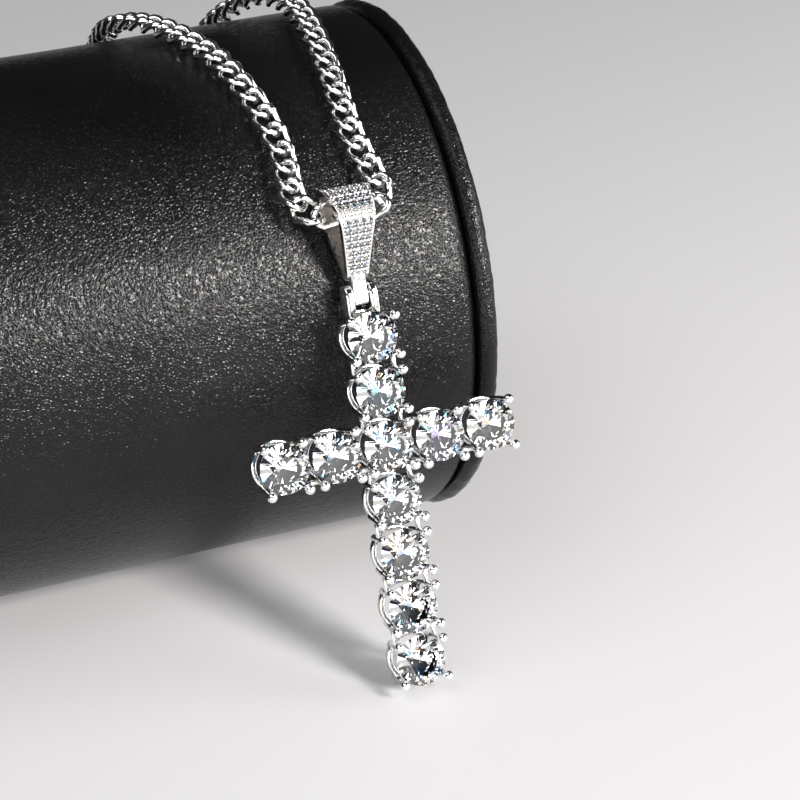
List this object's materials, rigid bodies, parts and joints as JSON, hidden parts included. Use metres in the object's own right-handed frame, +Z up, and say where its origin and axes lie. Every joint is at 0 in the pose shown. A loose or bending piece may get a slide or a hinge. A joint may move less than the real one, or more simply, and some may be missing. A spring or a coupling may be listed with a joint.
{
  "type": "cross pendant necklace on display roll",
  "caption": "A cross pendant of round prong-set stones with a stone-set bail on a curb chain, laid over a black leather display roll. The bail and the cross each swing forward.",
  "frame": {"origin": "the middle of the flat that the display roll stands on, at ground level", "axes": "X along the roll, positive towards the end by the cross; Y back, from the cross to the loop of chain; Z up"},
  "size_m": [0.1252, 0.2022, 0.0649],
  "materials": {
    "silver": "polished silver-coloured metal",
    "stone": "clear faceted stone",
    "leather": "black pebbled leather, slightly glossy"
  },
  "bodies": {
    "roll_and_chain": {"display_roll": "leather", "roll_cap_left": "leather", "roll_cap_right": "leather", "chain": "silver", "chain_clasp": "silver"},
    "bail": {"bail": "silver", "pave_stones": "stone"},
    "cross": {"cross_frame": "silver", "hinge_pin": "silver", "stone_centre": "stone", "stone_top_1": "stone", "stone_top_2": "stone", "stone_left_1": "stone", "stone_left_2": "stone", "stone_right_1": "stone", "stone_right_2": "stone", "stone_foot_1": "stone", "stone_foot_2": "stone", "stone_foot_3": "stone", "stone_foot_4": "stone"}
  },
  "joints": [
    {"name": "bail_swing", "type": "hinge", "parent": "roll_and_chain", "child": "bail", "pos_m": [0.0424, -0.02846, 0.05167], "axis": [-1, 0, 0], "range_deg": [0, 80]},
    {"name": "cross_swing", "type": "hinge", "parent": "bail", "child": "cross", "pos_m": [0.0424, -0.03183, 0.043], "axis": [-1, 0, 0], "range_deg": [0, 75]}
  ]
}
